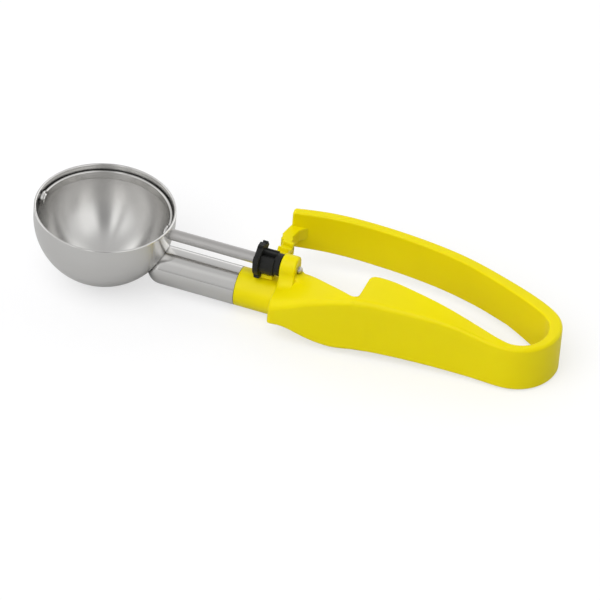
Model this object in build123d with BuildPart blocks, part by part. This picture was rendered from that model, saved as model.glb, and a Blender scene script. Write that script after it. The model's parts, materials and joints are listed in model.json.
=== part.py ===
from build123d import *
from math import asin, atan2, cos, degrees, hypot, radians, sin, sqrt, tan
import os

# Squeeze-handle ice cream disher. Every piece is drawn with the bowl's rim level: origin in the middle
# of the rim, +X along the handle, +Y towards the squeeze lever, +Z up out of the bowl. At the end the
# whole tool is tipped so that it lies on the bowl and the tail of the handle. Millimetres throughout.

# Bowl: a pressed hemisphere with a short straight skirt
bowl_radius = 27.8
bowl_wall = 0.9
bowl_skirt = 4.2
rim_round = 0.25

# Shank: a drawn tube with a rounded closed nose, seated on the bowl
tube_radius = 7.75
tube_wall = 1.2
tube_length = 37.2
tube_nose_round = 6.0
nose_setback = 8.0

# Spindle rod, scraper blade and the rivet that the blade turns on
rod_radius = 2.25
journal_radius = 1.45
journal_overhang = 2.0
blade_thickness = 1.0
blade_width = 3.6
blade_eye_wall = 0.85
blade_gap = 0.3
rivet_radius = 1.5
rivet_head_radius = 2.6
rivet_head_height = 1.1
rivet_foot_radius = 2.3
rivet_foot_height = 0.7
running_gap = 0.06

# Pinion on the spindle: flange with four index lugs, barrel toothed on its far side, collar
neck_to_flange = 6.4
flange_rim = 1.2
flange_width = 2.3
barrel_length = 5.6
collar_wall = 2.15
collar_length = 2.3
gear_teeth = 9
pitch_radius = 4.25
gear_addendum = 0.75
gear_dedendum = 1.0
tooth_tip_angle = 13.0
tooth_root_angle = 26.0
toothed_gaps = 6
lug_width = 2.8
lugs = ((32.0, 1.3), (83.0, 0.9), (148.0, 0.7), (-108.0, 1.3))  # angle, height above the flange

# Rack finger on the lever
rack_teeth = 6
rack_addendum = 0.6
rack_dedendum = 0.95
rack_tooth_thickness = 0.95
rack_flank_angle = 20.0
rack_back = 1.9
rack_width = 4.6
neck_gap = 0.45
finger_side_gap = 0.35
finger_depth = 5.6
finger_clear = 5.05
finger_front_length = 3.6
finger_step_length = 1.2
finger_step_shift = 1.6
finger_root_shift = 2.4

# Handle: neck, shoulder, post and loop
post_gap = 0.4
post_length = 6.2
post_half_width = 4.2
post_height = 5.4
spigot_length = 25.0
spigot_gap = 0.02
handle_length = 112.4
band_thickness = 4.9
band_top = 1.2
tail_depth = 20.0
lever_depth = 18.3
shoulder_underside = 27.2
shoulder_skirt = 20.4
skirt_fall = 3.2
edge_round = 1.4
corner_round = 2.5
hinge_y = 2.0
hinge_gap = 0.3
sweep_angle = 180.0

# Levels and stations that follow from the sizes above
axis_z = -bowl_skirt
gear_tip_radius = pitch_radius + gear_addendum
gear_root_radius = pitch_radius - gear_dedendum
flange_radius = gear_tip_radius + flange_rim
lug_reach = flange_radius + max(height for angle, height in lugs)
rack_pitch_z = axis_z - pitch_radius
rack_root_z = rack_pitch_z - rack_dedendum
rack_bottom_z = rack_root_z - rack_back
rack_top_z = rack_pitch_z + rack_addendum
tube_z = min(axis_z - lug_reach, rack_bottom_z) - neck_gap - tube_radius
tube_nose_x = bowl_radius - nose_setback
tube_end_x = tube_nose_x + tube_length
flange_x = tube_end_x + neck_to_flange
barrel_x = flange_x + flange_width
collar_x = barrel_x + barrel_length
collar_end_x = collar_x + collar_length
post_x = collar_end_x + post_gap
post_end_x = post_x + post_length
tail_x = post_x + handle_length
hinge_x = tail_x - band_thickness / 2
loop_top_z = -band_top
tail_z = loop_top_z - tail_depth

# The rack's teeth are rays from the hinge, so that each lies along the spindle while it is in mesh
rack_outer_radius = hinge_x - barrel_x - finger_side_gap
rack_inner_radius = rack_outer_radius - rack_width
rack_mean_radius = (rack_outer_radius + rack_inner_radius) / 2
lever_ratio = rack_mean_radius / pitch_radius
lever_travel = sweep_angle / lever_ratio
rack_step = 360 / gear_teeth / lever_ratio
rack_start_angle = degrees(hinge_y / rack_mean_radius)
finger_front_y = pitch_radius * radians(sweep_angle) + finger_clear
finger_root_y = finger_front_y + finger_front_length


# --- Bowl -----------------------------------------------------------------------------------------
with BuildPart() as bowl:
    with BuildSketch(Plane.XZ):
        with BuildLine():
            Line((bowl_radius, 0), (bowl_radius, axis_z))
            CenterArc((0, axis_z), bowl_radius, 0, -90)
            Line((0, axis_z - bowl_radius), (0, axis_z - bowl_radius + bowl_wall))
            CenterArc((0, axis_z), bowl_radius - bowl_wall, -90, 90)
            Line((bowl_radius - bowl_wall, axis_z), (bowl_radius - bowl_wall, 0))
            Line((bowl_radius - bowl_wall, 0), (bowl_radius, 0))
        make_face()
    revolve(axis=Axis.Z)
    rim_edges = bowl.edges().filter_by(GeomType.CIRCLE).group_by(Axis.Z)[-1]
    fillet(rim_edges, radius=rim_round)
    with BuildSketch(Plane.YZ):
        with Locations((0, axis_z)):
            Circle(rod_radius + running_gap)
    extrude(amount=bowl_radius + bowl_wall, mode=Mode.SUBTRACT)
    with BuildSketch(Plane.YZ):
        with Locations((0, axis_z)):
            Circle(rivet_radius)
    extrude(amount=-bowl_radius - bowl_wall, mode=Mode.SUBTRACT)

# --- Shank tube: closed nose, shaped where it meets the bowl ------------------------------------------
nose_centre = (tube_nose_x + tube_nose_round, tube_z + tube_radius - tube_nose_round)
tube_bore = tube_radius - tube_wall
with BuildPart() as shank_tube:
    with BuildSketch(Plane.XZ):
        with BuildLine():
            Line((tube_nose_x, tube_z), (tube_nose_x, nose_centre[1]))
            CenterArc(nose_centre, tube_nose_round, 180, -90)
            Line((nose_centre[0], tube_z + tube_radius), (tube_end_x, tube_z + tube_radius))
            Line((tube_end_x, tube_z + tube_radius), (tube_end_x, tube_z + tube_bore))
            Line((tube_end_x, tube_z + tube_bore), (nose_centre[0], tube_z + tube_bore))
            CenterArc(nose_centre, tube_nose_round - tube_wall, 90, 90)
            Line((tube_nose_x + tube_wall, nose_centre[1]), (tube_nose_x + tube_wall, tube_z))
            Line((tube_nose_x + tube_wall, tube_z), (tube_nose_x, tube_z))
        make_face()
    revolve(axis=Axis((0, 0, tube_z), (1, 0, 0)))
    with BuildSketch(Plane.XZ):
        with BuildLine():
            Line((0, axis_z), (bowl_radius, axis_z))
            CenterArc((0, axis_z), bowl_radius, 0, -90)
            Line((0, axis_z - bowl_radius), (0, axis_z))
        make_face()
    revolve(axis=Axis.Z, mode=Mode.SUBTRACT)

# --- Pivot rivet at the front of the bowl ---------------------------------------------------------------
blade_outer = bowl_radius - bowl_wall - blade_gap
blade_inner = blade_outer - blade_thickness
rivet_inner_x = sqrt(blade_inner**2 - rivet_foot_radius**2) - running_gap
with BuildPart() as pivot_rivet:
    with BuildSketch(Plane.YZ.offset(-rivet_inner_x + rivet_foot_height)):
        with Locations((0, axis_z)):
            Circle(rivet_foot_radius)
    extrude(amount=-rivet_foot_height)
    with BuildSketch(Plane.YZ.offset(-rivet_inner_x)):
        with Locations((0, axis_z)):
            Circle(rivet_radius)
    extrude(amount=-(bowl_radius - rivet_inner_x))
    with BuildSketch(Plane.YZ.offset(-bowl_radius)):
        with Locations((0, axis_z)):
            Circle(rivet_head_radius)
    extrude(amount=-rivet_head_height)
    head_edge = pivot_rivet.edges().filter_by(GeomType.CIRCLE).sort_by(Axis.X)[0]
    fillet(head_edge, radius=rivet_head_height * 0.8)

# --- Scraper blade: a half hoop on the bowl's sphere, with an eye at each end ----------------------------
with BuildPart() as scraper_blade:
    with BuildSketch(Plane.YZ.offset(-bowl_radius)):
        with Locations((0, axis_z)):
            Circle(rod_radius + blade_eye_wall)
            Rectangle(bowl_radius, blade_width, align=(Align.MIN, Align.CENTER))
    extrude(amount=2 * bowl_radius)
    with BuildSketch(Plane.XY.offset(axis_z)):
        with BuildLine():
            CenterArc((0, 0), blade_outer, 0, 180)
            Line((-blade_outer, 0), (-blade_inner, 0))
            CenterArc((0, 0), blade_inner, 180, -180)
            Line((blade_inner, 0), (blade_outer, 0))
        make_face()
    revolve(axis=Axis((0, 0, axis_z), (1, 0, 0)), mode=Mode.INTERSECT)
    with BuildSketch(Plane.YZ):
        with Locations((0, axis_z)):
            Circle(rod_radius)
    extrude(amount=bowl_radius, mode=Mode.SUBTRACT)
    with BuildSketch(Plane.YZ):
        with Locations((0, axis_z)):
            Circle(rivet_radius + running_gap)
    extrude(amount=-bowl_radius, mode=Mode.SUBTRACT)

# --- Spindle rod: through the blade's eye and the bowl to the pinion, with a journal in the post -----------
with BuildPart() as spindle_rod:
    with BuildSketch(Plane.YZ.offset(blade_inner)):
        with Locations((0, axis_z)):
            Circle(rod_radius)
    extrude(amount=collar_end_x - blade_inner)
    with BuildSketch(Plane.YZ.offset(collar_end_x)):
        with Locations((0, axis_z)):
            Circle(journal_radius)
    extrude(amount=post_end_x + journal_overhang - collar_end_x)
    journal_edge = spindle_rod.edges().filter_by(GeomType.CIRCLE).sort_by(Axis.X)[-1]
    fillet(journal_edge, radius=journal_radius * 0.6)

# --- Drive pinion ---------------------------------------------------------------------------------------
tooth_angle = 360 / gear_teeth
gap_tip_half = (tooth_angle - tooth_tip_angle) / 2
gap_root_half = (tooth_angle - tooth_root_angle) / 2
cut_radius = gear_tip_radius + 0.5
cut_half = gap_tip_half + (gap_tip_half - gap_root_half) * 0.5 / (gear_tip_radius - gear_root_radius)


def on_circle(radius, angle):
    """Point in the spindle's cross-section, at an angle from +Y towards +Z."""
    return (radius * cos(radians(angle)), axis_z + radius * sin(radians(angle)))


with BuildPart() as drive_pinion:
    with BuildSketch(Plane.YZ.offset(flange_x)):
        with Locations((0, axis_z)):
            Circle(flange_radius)
        for lug_angle, lug_height in lugs:
            reach = flange_radius + lug_height
            with Locations(on_circle(reach / 2, lug_angle)):
                Rectangle(reach, lug_width, rotation=lug_angle)
    extrude(amount=flange_width)
    with BuildSketch(Plane.YZ.offset(barrel_x)):
        with Locations((0, axis_z)):
            Circle(gear_tip_radius)
    extrude(amount=barrel_length)
    with BuildSketch(Plane.YZ.offset(barrel_x)):
        for gap in range(toothed_gaps):
            middle = -90 + gap * tooth_angle
            with BuildLine():
                Polyline(
                    on_circle(gear_root_radius, middle - gap_root_half),
                    on_circle(cut_radius, middle - cut_half),
                    on_circle(cut_radius, middle + cut_half),
                    on_circle(gear_root_radius, middle + gap_root_half),
                    close=True,
                )
            make_face()
    extrude(amount=barrel_length, mode=Mode.SUBTRACT)
    with BuildSketch(Plane.YZ.offset(collar_x)):
        with Locations((0, axis_z)):
            Circle(rod_radius + collar_wall)
    extrude(amount=collar_length)
    collar_edge = drive_pinion.edges().filter_by(GeomType.CIRCLE).sort_by(Axis.X)[-1]
    fillet(collar_edge, radius=0.4)
    with BuildSketch(Plane.YZ.offset(flange_x)):
        with Locations((0, axis_z)):
            Circle(rod_radius)
    extrude(amount=collar_end_x - flange_x, mode=Mode.SUBTRACT)

# --- Handle grip: spigot, neck, shoulder, bearing post, palm block and near arm of the loop --------------
def along(share):
    """Station at a share of the way from the post to the tail, for the handle's free-form outlines."""
    return post_x + share * handle_length


near_outline = [
    (post_x - 0.3, -16.8),
    (along(0.205), -17.0),
    (along(0.463), -15.2),
    (along(0.662), -14.6),
    (tail_x - 16, -15.1),
    (tail_x - 10.2, -13.6),
    (tail_x - 5.2, -10.2),
    (tail_x - 1.5, -4.8),
    (tail_x, hinge_y),
]
block_edge = [
    (tail_x - band_thickness, hinge_y),
    (tail_x - 5.6, -4.0),
    (tail_x - 8.2, -8.0),
    (tail_x - 13.5, -10.8),
    (along(0.813), -10.9),
    (along(0.626), -7.1),
    (along(0.431), -0.5),
    (along(0.356), 1.2),
]
block_front_x = along(0.314)
notch_x = along(0.285)
notch_y = -12.4
ridge_end = (post_end_x + 1.2, 3.0)
belly_x = along(0.196)
belly_end_x = along(0.463)
root_end_x = along(0.302)
crest_z = 4.0
top_profile = [
    (post_x, -9.0),
    (along(0.062), -7.4),
    (along(0.205), -1.3),
    (along(0.32), 2.0),
    (along(0.617), crest_z),
    (along(0.751), 1.2),
    (tail_x - 16, loop_top_z),
]

# Root: the part of the moulding below the spindle that ties the neck into the near arm
root_top_z = tube_z + tube_radius - 0.8
with BuildPart() as grip_root:
    with BuildSketch(Plane.YZ.offset(post_x)):
        Polygon(
            (near_outline[0][1] + 1, root_top_z), (near_outline[0][1] + 1, -shoulder_skirt),
            (-tube_radius + 2, -shoulder_underside), (tube_radius - 3, -shoulder_underside),
            (tube_radius, -shoulder_underside + 4), (tube_radius, root_top_z), align=None,
        )
    extrude(amount=root_end_x - post_x)
    with BuildSketch(Plane.XY):
        Polygon(
            (post_x, near_outline[0][1]), (root_end_x, notch_y), (root_end_x - 4, notch_y + 5),
            (post_x + 9, tube_radius), (post_x, tube_radius), align=None,
        )
    extrude(amount=-shoulder_underside - 1, mode=Mode.INTERSECT)
    with BuildSketch(Plane.XZ):
        Polygon(
            (post_x, root_top_z), (post_x, -shoulder_underside),
            (root_end_x, -shoulder_skirt - skirt_fall + 1), (root_end_x, root_top_z), align=None,
        )
    extrude(amount=bowl_radius, both=True, mode=Mode.INTERSECT)

with BuildPart() as handle_grip:
    with BuildSketch(Plane.XY.offset(-shoulder_underside)):
        with BuildLine():
            Spline(*near_outline)
            CenterArc((hinge_x, hinge_y), band_thickness / 2, 0, 180)
            Spline(*block_edge)
            Polyline(block_edge[-1], (block_front_x, block_edge[-1][1]), (block_front_x, notch_y),
                     (notch_x, notch_y), ridge_end, (near_outline[0][0], ridge_end[1]), near_outline[0])
        make_face()
    extrude(amount=shoulder_underside + crest_z + 1)
    corner_line = handle_grip.edges().filter_by(Axis.Z).sort_by_distance((*near_outline[0], 0))[0]
    fillet(corner_line, radius=corner_round)
    with BuildSketch(Plane.XZ):
        with BuildLine():
            Spline(*top_profile)
            Polyline(top_profile[-1], (tail_x + 1, loop_top_z), (tail_x + 1, tail_z),
                     (belly_end_x, tail_z), (belly_x, -shoulder_skirt - skirt_fall),
                     (post_x, -shoulder_skirt), top_profile[0])
        make_face()
    extrude(amount=tail_depth + tail_x, both=True, mode=Mode.INTERSECT)

    add(grip_root.part)

    # bearing post
    with BuildSketch(Plane.YZ.offset(post_x)):
        with Locations((0, axis_z + post_height - post_half_width)):
            Circle(post_half_width)
            Rectangle(2 * post_half_width, axis_z + post_height - post_half_width - tube_z,
                      align=(Align.CENTER, Align.MAX))
    extrude(amount=post_length)

    # neck and the spigot that the tube is pressed over
    with BuildSketch(Plane.YZ.offset(tube_end_x)):
        with Locations((0, tube_z)):
            Circle(tube_radius)
    extrude(amount=post_x + edge_round - tube_end_x)
    with BuildSketch(Plane.YZ.offset(tube_end_x - spigot_length)):
        with Locations((0, tube_z)):
            Circle(tube_bore - spigot_gap)
    extrude(amount=spigot_length)

    # bore for the spindle's journal
    with BuildSketch(Plane.YZ.offset(post_x - edge_round)):
        with Locations((0, axis_z)):
            Circle(journal_radius + running_gap)
    extrude(amount=post_length + 2 * edge_round, mode=Mode.SUBTRACT)

# --- Squeeze lever: far arm of the loop, with the rack finger on its front end ---------------------------
lever_outer = [
    (tail_x, hinge_y),
    (tail_x - 0.8, 7.2),
    (tail_x - 3.4, 12.0),
    (tail_x - 8.3, 16.1),
    (tail_x - 14.4, 19.5),
    (along(0.6), 31.1),
    (along(0.413), 35.0),
    (along(0.227), 36.4),
    (post_x + 6, 35.3),
    (post_x - 7, 32.2),
]
lever_inner = [
    (tail_x - band_thickness, hinge_y),
    (tail_x - 6.2, 6.6),
    (tail_x - 10.5, 11.0),
    (tail_x - 21, 16.6),
    (along(0.6), 26.6),
    (along(0.413), 31.0),
    (along(0.214), 32.6),
    (post_x + 6, 31.4),
    (post_x - 5.5, 28.8),
]
hinge_point = (hinge_x, hinge_y)

with BuildPart() as squeeze_lever:
    with BuildSketch(Plane.XY.offset(tail_z)):
        with BuildLine():
            Spline(*lever_outer)
            Spline(*lever_inner)
            Line(lever_outer[0], lever_inner[0])
            Line(lever_outer[-1], lever_inner[-1])
        make_face()
        with Locations(hinge_point):
            Circle(band_thickness / 2 + hinge_gap, mode=Mode.SUBTRACT)
    extrude(amount=tail_depth)
    with BuildSketch(Plane.XZ):
        Polygon(
            (tail_x - 10, tail_z), (post_x - 20, tail_z), (post_x - 20, loop_top_z - lever_depth),
            (tail_x - 24, loop_top_z - lever_depth), align=None,
        )
    extrude(amount=tail_depth + tail_x, both=True, mode=Mode.SUBTRACT)

    # finger: arcs about the hinge, set forward where it leaves the arm
    arm_angle = degrees(asin((lever_inner[-1][1] + 1.2 - hinge_y) / rack_mean_radius))
    root_angle = degrees(asin((finger_root_y - hinge_y) / rack_mean_radius))
    front_angle = degrees(asin((finger_front_y - hinge_y) / rack_mean_radius))
    step_angle = degrees(asin((finger_front_y + finger_step_length - hinge_y) / rack_mean_radius))
    tip_angle = -rack_start_angle - rack_step * 0.75
    finger_arcs = [
        (0, front_angle, step_angle), (finger_step_shift, step_angle, root_angle),
        (finger_root_shift, root_angle, arm_angle),
    ]
    with BuildSketch(Plane.XY.offset(rack_top_z - finger_depth)):
        for shift, start, end in finger_arcs:
            with BuildLine():
                CenterArc(hinge_point, rack_outer_radius + shift, 180 - end, end - start)
                CenterArc(hinge_point, rack_inner_radius + shift, 180 - end, end - start)
                for angle in (start, end):
                    ray = Vector(-cos(radians(angle)), sin(radians(angle)))
                    Line(Vector(*hinge_point) + ray * (rack_outer_radius + shift),
                         Vector(*hinge_point) + ray * (rack_inner_radius + shift))
            make_face()
    extrude(amount=finger_depth)

    # rack bar under the pinion
    with BuildSketch(Plane.XY.offset(rack_bottom_z)):
        with BuildLine():
            CenterArc(hinge_point, rack_outer_radius, 180 - root_angle, root_angle - tip_angle)
            CenterArc(hinge_point, rack_inner_radius, 180 - root_angle, root_angle - tip_angle)
            for angle in (root_angle, tip_angle):
                ray = Vector(-cos(radians(angle)), sin(radians(angle)))
                Line(Vector(*hinge_point) + ray * rack_outer_radius,
                     Vector(*hinge_point) + ray * rack_inner_radius)
        make_face()
    extrude(amount=rack_back)

    # teeth
    flank = tan(radians(rack_flank_angle))
    root_half = rack_tooth_thickness / 2 + rack_dedendum * flank
    tip_half = rack_tooth_thickness / 2 - rack_addendum * flank
    for tooth in range(rack_teeth):
        angle = radians(-rack_start_angle + tooth * rack_step)
        ray = Vector(-cos(angle), sin(angle), 0)
        foot = Vector(hinge_x, hinge_y, rack_root_z) + ray * rack_inner_radius
        with BuildSketch(Plane(foot, x_dir=(sin(angle), cos(angle), 0), z_dir=ray)):
            with BuildLine():
                Polyline((-root_half, -0.2), (-root_half, 0), (-tip_half, rack_top_z - rack_root_z),
                         (tip_half, rack_top_z - rack_root_z), (root_half, 0), (root_half, -0.2), close=True)
            make_face()
        extrude(amount=rack_outer_radius - rack_inner_radius)

# --- Lay the tool down: tipped about Y until the tail is as low as the bowl -------------------------------
tail_reach = tail_x - band_thickness / 2
tail_fall = tail_z - axis_z
pitch = degrees(atan2(tail_fall, tail_reach) + asin(bowl_radius / hypot(tail_reach, tail_fall)))
tipped = Location((0, 0, 0), (0, pitch, 0))
pieces = [
    bowl, shank_tube, pivot_rivet, scraper_blade, spindle_rod, drive_pinion, handle_grip, squeeze_lever,
]
extent = Compound(children=[tipped * piece.part for piece in pieces]).bounding_box()
middle = extent.center()
lying = Location((-middle.X, -middle.Y, -extent.min.Z)) * tipped
for piece in pieces:
    piece.part.locate(lying)

os.makedirs("parts", exist_ok=True)
bowl.part.label = "bowl"
export_step(bowl.part, "parts/bowl.step")
shank_tube.part.label = "shank_tube"
export_step(shank_tube.part, "parts/shank_tube.step")
pivot_rivet.part.label = "pivot_rivet"
export_step(pivot_rivet.part, "parts/pivot_rivet.step")
scraper_blade.part.label = "scraper_blade"
export_step(scraper_blade.part, "parts/scraper_blade.step")
spindle_rod.part.label = "spindle_rod"
export_step(spindle_rod.part, "parts/spindle_rod.step")
drive_pinion.part.label = "drive_pinion"
export_step(drive_pinion.part, "parts/drive_pinion.step")
handle_grip.part.label = "handle_grip"
export_step(handle_grip.part, "parts/handle_grip.step")
squeeze_lever.part.label = "squeeze_lever"
export_step(squeeze_lever.part, "parts/squeeze_lever.step")
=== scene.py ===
"""Looks of a squeeze-handle ice cream disher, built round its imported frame.

Every piece is worked out in the tool's own frame, in millimetres: the bowl's rim is level, its middle
is the origin, +X runs along the handle, +Y points to the squeezed arm and +Z up. ToolFrame then lays
the piece down on its bowl and tail, in metres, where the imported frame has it.
"""
import json
import logging
import math
from dataclasses import dataclass, field
from enum import Enum
from typing import Any, Sequence

import bpy
import numpy as np
from mathutils import Matrix


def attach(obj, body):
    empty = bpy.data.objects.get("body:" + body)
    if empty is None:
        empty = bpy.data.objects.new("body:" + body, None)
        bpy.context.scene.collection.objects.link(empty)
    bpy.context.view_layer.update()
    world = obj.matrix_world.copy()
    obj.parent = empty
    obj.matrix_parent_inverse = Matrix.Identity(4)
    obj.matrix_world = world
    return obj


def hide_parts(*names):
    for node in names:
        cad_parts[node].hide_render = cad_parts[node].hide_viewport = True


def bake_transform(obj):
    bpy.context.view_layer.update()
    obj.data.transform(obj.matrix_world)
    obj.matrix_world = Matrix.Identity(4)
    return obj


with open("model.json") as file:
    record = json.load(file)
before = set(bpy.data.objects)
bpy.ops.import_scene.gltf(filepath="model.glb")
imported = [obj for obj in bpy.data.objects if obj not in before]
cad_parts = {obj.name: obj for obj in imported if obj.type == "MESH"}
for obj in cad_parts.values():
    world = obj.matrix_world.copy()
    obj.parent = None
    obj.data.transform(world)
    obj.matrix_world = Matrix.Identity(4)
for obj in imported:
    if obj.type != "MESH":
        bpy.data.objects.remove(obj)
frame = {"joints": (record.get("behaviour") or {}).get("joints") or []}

LOG = logging.getLogger("disher")
MM = 0.001
SHARP_ANGLE = math.radians(38)  # a crease sharper than this stays one
POLE_SIZE = 1e-6  # an end ring smaller than this is one point
MERGE_SIZE = 1e-6  # metres: points of a finished mesh closer than this are one
LEAST_ROUND, LEAST_ROOM = 0.05, 0.06  # millimetres: limits of a section's corner radius
LEAST_SHARE = 1e-3  # keeps a sine or cosine that is divided by off zero
NOISE_SPAN = (0.3, 0.7)  # nearly all values of a noise texture lie between these

# Lines that several pieces share, in millimetres in the tool's own frame
SPINDLE_Z = -4.2
TUBE_Z = -19.9
TUBE_RADIUS = 7.75
TUBE_END_X = 57.0


class Body(Enum):
    """The rigid bodies of the frame."""

    HANDLE = "handle"
    LEVER = "lever"
    SPINDLE = "spindle"


class Slot(Enum):
    """The record's material slots."""

    STEEL = "polished_steel"
    BLACK = "black_plastic"
    YELLOW = "yellow_plastic"


# --- Arrays -------------------------------------------------------------------------------------------


def natural_spline(knots: np.ndarray, values: np.ndarray, at: np.ndarray) -> np.ndarray:
    """Natural cubic spline: cubic pieces with equal slope and curvature at each knot, straight at the ends.

    Args:
        knots: increasing parameters, one per row of values.
        values: rows that the spline passes through.
        at: parameters to work it out at.

    Returns:
        One row per entry of at.
    """
    step = np.diff(knots)
    count = len(knots)
    system = np.eye(count)
    right = np.zeros_like(values, dtype=float)
    inner = np.arange(1, count - 1)
    system[inner, inner - 1] = step[:-1]
    system[inner, inner] = 2 * (step[:-1] + step[1:])
    system[inner, inner + 1] = step[1:]
    slope = np.diff(values, axis=0) / step[:, None]
    right[1:-1] = 6 * np.diff(slope, axis=0)
    bend = np.linalg.solve(system, right)
    span = np.clip(np.searchsorted(knots, at, side="right") - 1, 0, count - 2)
    before = (at - knots[span])[:, None]
    after = (knots[span + 1] - at)[:, None]
    width = step[span][:, None]
    return (
        (bend[span] * after**3 + bend[span + 1] * before**3) / (6 * width)
        + (values[span] / width - bend[span] * width / 6) * after
        + (values[span + 1] / width - bend[span + 1] * width / 6) * before
    )


def curve_at(points: Sequence[Sequence[float]], at: np.ndarray) -> np.ndarray:
    """Height of a natural spline through (x, height) points.

    Args:
        points: (x, height) points, in order of x.
        at: where to work it out. Beyond the ends it keeps the end's height.

    Returns:
        One height per entry of at.
    """
    table = np.array(points, float)
    inside = np.clip(at, table[0, 0], table[-1, 0])
    return natural_spline(table[:, 0], table[:, 1:], inside)[:, 0]


def lines_at(points: Sequence[Sequence[float]], at: np.ndarray) -> np.ndarray:
    """Value, at given x, of the straight lines through (x, value) points."""
    return np.interp(at, *np.array(points).T)


def arc(radius: float, start: float, end: float, count: int) -> np.ndarray:
    """Points (radius cos a, radius sin a) for a from start to end degrees."""
    angle = np.radians(np.linspace(start, end, count))
    return radius * np.stack([np.cos(angle), np.sin(angle)], axis=1)


def band(
    outer: np.ndarray, inner: np.ndarray, top: np.ndarray, bottom: np.ndarray, radii: np.ndarray,
    inset: np.ndarray, corner_points: int = 7, crest: np.ndarray | None = None,
) -> np.ndarray:
    """Carries a rounded four-sided section along a path.

    A section stands upright on the plan line from outer to inner. Each of its corners is a quarter
    circle (centre + r cos a, centre + r sin a), and the inset draws all four sides in, which rounds the
    ends of the band.

    Args:
        outer: plan points (n, 2) of the outer wall.
        inner: plan points (n, 2) of the inner wall.
        top: heights (n, 2) of the top at the outer and the inner wall.
        bottom: heights (n, 2) of the bottom at the outer and the inner wall.
        radii: (n, 4) corner radii: bottom outer, bottom inner, top inner, top outer.
        inset: (n,) how far all sides are drawn in.
        corner_points: points in each corner's quarter circle.
        crest: (n, m, 2) further points on the top side, from the inner wall to the outer one: share of
            the way across and height above the straight top.

    Returns:
        Grid of points (n, 4 * corner_points + m, 3).
    """
    across = np.array([0.0, 1.0, 1.0, 0.0])
    upper = np.array([0, 0, 1, 1])
    quarter = np.linspace(0, np.pi / 2, corner_points)
    start = np.array([math.pi, 1.5 * math.pi, 0.0, 0.5 * math.pi])
    angle = start[:, None] + quarter[None, :]
    width = np.linalg.norm(inner - outer, axis=1)
    direction = (inner - outer) / width[:, None]
    heights = np.stack([bottom[:, 0], bottom[:, 1], top[:, 1], top[:, 0]], axis=1)
    room = np.maximum(np.minimum(width, heights[:, 3] - heights[:, 0]) / 2 - inset, LEAST_ROOM)
    radius = np.clip(radii - inset[:, None], LEAST_ROUND, room[:, None])
    side = np.where(across > 0, -1.0, 1.0)
    lift = np.where(upper > 0, -1.0, 1.0)
    centre_d = across * width[:, None] + side * (radius + inset[:, None])
    centre_z = heights + lift * (radius + inset[:, None])
    along = centre_d[:, :, None] + radius[:, :, None] * np.cos(angle)[None]
    height = centre_z[:, :, None] + radius[:, :, None] * np.sin(angle)[None]
    along = along.reshape(len(width), -1)
    height = height.reshape(len(width), -1)
    if crest is not None:
        split = 3 * corner_points
        inner_end, outer_end = np.s_[:, split - 1 : split], np.s_[:, split : split + 1]
        share, rise = crest[..., 0], crest[..., 1]
        ridge = height[inner_end] + share * (height[outer_end] - height[inner_end]) + rise
        across_top = along[inner_end] + share * (along[outer_end] - along[inner_end])
        height = np.concatenate([height[:, :split], ridge, height[:, split:]], axis=1)
        along = np.concatenate([along[:, :split], across_top, along[:, split:]], axis=1)
    plan = outer[:, None, :] + along[:, :, None] * direction[:, None, :]
    return np.concatenate([plan, height[:, :, None]], axis=2)


def end_inset(distance: np.ndarray, radius: float) -> np.ndarray:
    """Inset of a section near an end, following a quarter circle of that radius."""
    near = np.clip(radius - distance, 0, radius)
    return radius - np.sqrt(np.maximum(radius**2 - near**2, 0))


def end_rows(start: float, length: float, count: int) -> np.ndarray:
    """Parameters that crowd towards start, so that an end's rounding gets even steps."""
    return start + length * (1 - np.cos(np.linspace(0, math.pi / 2, count)))


def prism(outline: np.ndarray, levels: Sequence[Sequence[float]]) -> np.ndarray:
    """Stacks a closed outline at several levels, drawn in along its own normals.

    Args:
        outline: closed outline (n, 2), counter-clockwise.
        levels: rows of (level, inset).

    Returns:
        Grid (levels, n, 3) with the outline in the first two coordinates and the level in the third.
    """
    tangent = np.roll(outline, -1, axis=0) - np.roll(outline, 1, axis=0)
    tangent /= np.linalg.norm(tangent, axis=1)[:, None]
    inward = np.stack([-tangent[:, 1], tangent[:, 0]], axis=1)
    table = np.array(levels, float)
    flat = outline[None] + table[:, 1, None, None] * inward[None]
    level = np.broadcast_to(table[:, 0, None, None], (len(table), len(outline), 1))
    return np.concatenate([flat, level], axis=2)


def edge_levels(low: float, high: float, radius: float, count: int = 4) -> list[tuple[float, float]]:
    """Levels and insets of a prism whose two rims are quarter circles of that radius.

    Args:
        low: the first level.
        high: the last level.
        radius: the rims' radius.
        count: points in each quarter circle.

    Returns:
        Rows of (level, inset), as prism takes them.
    """
    angle = np.linspace(0, math.pi / 2, count)
    inset = radius * (1 - np.sin(angle))
    rise = radius * (1 - np.cos(angle))
    first = list(zip(low + rise, inset))
    last = list(zip(high - rise, inset))[::-1]
    return first + last


def revolve(profile: np.ndarray, count: int) -> np.ndarray:
    """Turns (radius, height) points once round the third axis: (r cos a, r sin a, h).

    Args:
        profile: (n, 2) radii and heights.
        count: steps round the axis.

    Returns:
        Grid (n, count, 3).
    """
    angle = np.linspace(0, 2 * math.pi, count, endpoint=False)
    ring = np.stack([np.cos(angle), np.sin(angle)], axis=1)
    flat = profile[:, 0, None, None] * ring[None]
    height = np.broadcast_to(profile[:, 1, None, None], (len(profile), count, 1))
    return np.concatenate([flat, height], axis=2)


def along_x(points: np.ndarray, height: float) -> np.ndarray:
    """Turns a grid drawn about the third axis so that this axis lies along +X at a height."""
    return np.stack([points[..., 2], points[..., 0], points[..., 1] + height], axis=-1)


# --- Meshes -------------------------------------------------------------------------------------------


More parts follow.
